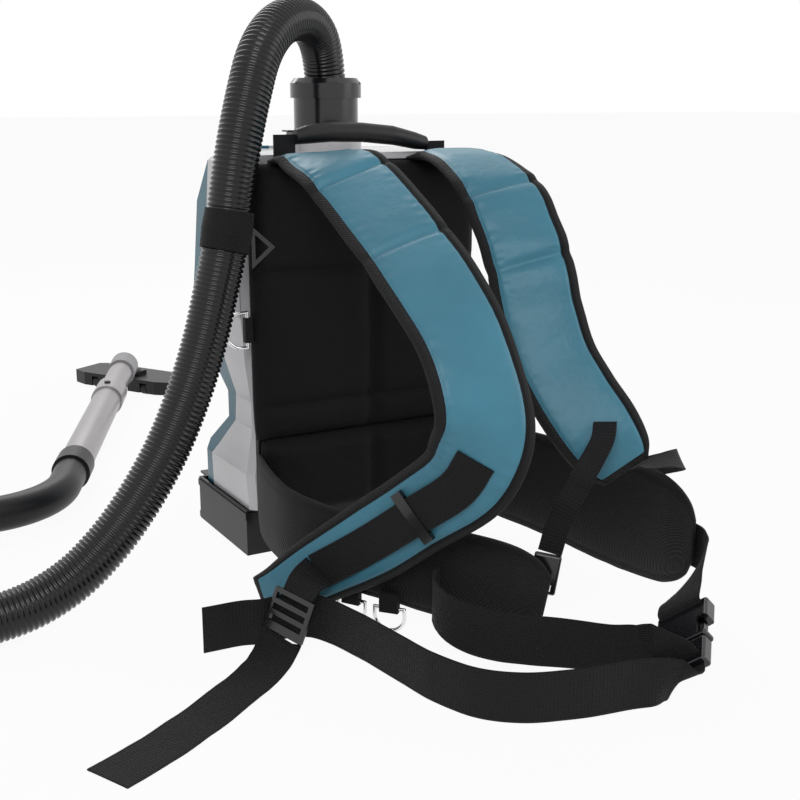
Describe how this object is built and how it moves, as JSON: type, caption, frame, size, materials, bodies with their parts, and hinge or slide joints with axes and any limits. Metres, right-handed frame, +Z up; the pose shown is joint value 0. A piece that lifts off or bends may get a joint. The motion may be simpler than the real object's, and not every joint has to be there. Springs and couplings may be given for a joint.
{
  "type": "backpack vacuum cleaner",
  "caption": "Cordless backpack dust-bag vacuum cleaner with padded harness, waist belt, ribbed suction hose, telescopic wand and tilting floor nozzle.",
  "frame": {"origin": "on the floor, under the middle of the casing (the mount named base)", "axes": "+Z up, -Y towards the wearer (the harness side), +X to the right seen from the harness side"},
  "size_m": [0.8856, 1.5701, 0.6394],
  "materials": {
    "black_nylon": "woven",
    "black_plastic": "satin",
    "board_green": "satin",
    "chrome": "polished",
    "cloth_white": "woven",
    "grey_plastic": "satin",
    "label_paper": "matte",
    "rubber": "matte",
    "steel": "brushed",
    "steel_tube": "satin",
    "teal_gloss": "gloss",
    "teal_nylon": "satin nylon",
    "white_gloss": "gloss"
  },
  "bodies": {
    "backpack": {"front_shell": "white_gloss", "hinge_pins": "steel", "battery_tub": "black_plastic", "terminal_block": "black_plastic", "left_battery": "black_plastic", "right_battery": "black_plastic", "motor_deck": "black_plastic", "motor_housing": "black_plastic", "motor_can": "black_plastic", "motor_bearings": "steel", "motor_mount_rings": "rubber", "filter_frame": "black_plastic", "motor_filter": "cloth_white", "control_board": "board_green", "switch_frame": "black_plastic", "rating_plate": "label_paper", "dust_bag": "cloth_white", "bag_collar": "black_plastic", "inlet_socket": "black_plastic", "hose_cuff": "black_plastic", "hose": "black_plastic", "hose_band": "black_nylon", "harness_plate": "black_plastic", "plate_screws": "steel", "back_pad": "black_nylon", "lumbar_pad": "black_nylon", "left_shoulder_strap": "teal_nylon", "right_shoulder_strap": "teal_nylon", "left_waist_wing": "black_nylon", "right_waist_wing": "black_nylon", "left_strap_webbing": "black_nylon", "belt_webbing_front": "black_nylon", "belt_webbing_back": "black_nylon", "left_strap_buckles": "black_plastic", "sternum_webbing": "black_nylon", "sternum_buckle": "black_plastic", "right_strap_webbing": "black_nylon", "belt_buckle_socket": "black_plastic", "belt_buckle_prongs": "black_plastic", "sewn_loops": "black_nylon", "hose_hook": "black_plastic", "handle_grip": "black_plastic", "wand_outer_tube": "steel_tube", "hand_piece": "black_plastic"},
    "door": {"rear_door": "teal_gloss"},
    "door_lock": {"door_latch": "black_plastic"},
    "cover": {"battery_cover": "black_plastic"},
    "cover_lever": {"cover_latch": "black_plastic"},
    "rotor": {"motor_rotor": "steel"},
    "cuff_tab": {"cuff_release_tab": "black_plastic"},
    "switch_rocker": {"power_switch": "grey_plastic"},
    "side_d_ring": {"side_ring": "chrome"},
    "front_d_ring": {"front_ring": "chrome"},
    "rear_d_ring": {"rear_ring": "chrome"},
    "air_slider": {"suction_slider": "black_plastic"},
    "tube_button": {"tube_lock_button": "black_plastic"},
    "wand_extension": {"wand_inner_tube": "steel_tube", "nozzle_neck": "grey_plastic"},
    "floor_head": {"nozzle_head": "black_plastic"},
    "head_wheels": {"nozzle_wheels": "rubber"}
  },
  "joints": [
    {"name": "door_hinge", "type": "hinge", "parent": "backpack", "child": "door", "pos_m": [0, 0.0795, 0.467], "axis": [1, 0, 0], "range_deg": [0, 100]},
    {"name": "door_lock_turn", "type": "hinge", "parent": "door", "child": "door_lock", "pos_m": [0, 0.1, 0.072], "axis": [0, 1, 0], "range_deg": [0, 90]},
    {"name": "battery_cover_hinge", "type": "hinge", "parent": "backpack", "child": "cover", "pos_m": [-0.147, 0.0785, 0.028], "axis": [0, 0, 1], "range_deg": [0, 88]},
    {"name": "cover_lever_turn", "type": "hinge", "parent": "cover", "child": "cover_lever", "pos_m": [0.1554, 0.083, 0.028], "axis": [0, 0, 1], "range_deg": [0, 60]},
    {"name": "rotor_spin", "type": "hinge", "parent": "backpack", "child": "rotor", "pos_m": [0, -0.025, 0.12], "axis": [0, 0, 1], "continuous": true},
    {"name": "cuff_tab_press", "type": "hinge", "parent": "backpack", "child": "cuff_tab", "pos_m": [-0.0475, 0, 0.476], "axis": [0, 1, 0], "range_deg": [0, 8], "stiffness_Nm_per_rad": 0.1},
    {"name": "switch_rock", "type": "hinge", "parent": "backpack", "child": "switch_rocker", "pos_m": [0.148, -0.035, 0.341], "axis": [0, 1, 0], "range_deg": [-6, 6]},
    {"name": "side_ring_swing", "type": "hinge", "parent": "backpack", "child": "side_d_ring", "pos_m": [-0.1516, -0.1023, 0.276], "axis": [0, 0, 1], "range_deg": [-35, 35]},
    {"name": "front_ring_swing", "type": "hinge", "parent": "backpack", "child": "front_d_ring", "pos_m": [-0.1339, -0.3165, 0.029], "axis": [0.53, -0.848, 0], "range_deg": [-35, 35]},
    {"name": "rear_ring_swing", "type": "hinge", "parent": "backpack", "child": "rear_d_ring", "pos_m": [-0.1111, -0.3556, 0.0294], "axis": [0.6478, -0.7618, 0], "range_deg": [-35, 35]},
    {"name": "air_slider_turn", "type": "hinge", "parent": "backpack", "child": "air_slider", "pos_m": [-0.41389, 0.12946, 0.02935], "axis": [-0.9999, 0.0002, -0.0143], "range_deg": [0, 90]},
    {"name": "tube_button_press", "type": "slide", "parent": "backpack", "child": "tube_button", "axis": [0.0143, 0.0318, -0.9994], "range_m": [0, 0.0015], "stiffness_N_per_m": 300},
    {"name": "wand_extend", "type": "slide", "parent": "backpack", "child": "wand_extension", "axis": [0.4097, 0.9116, 0.0349], "range_m": [0, 0.25]},
    {"name": "head_tilt", "type": "hinge", "parent": "wand_extension", "child": "floor_head", "pos_m": [-0.01411, 0.8206, 0.028], "axis": [-0.512, 0.859, 0], "range_deg": [-60, 4]},
    {"name": "wheel_spin", "type": "hinge", "parent": "floor_head", "child": "head_wheels", "pos_m": [-0.03129, 0.81036, 0.0092], "axis": [-0.512, 0.859, 0], "continuous": true}
  ]
}
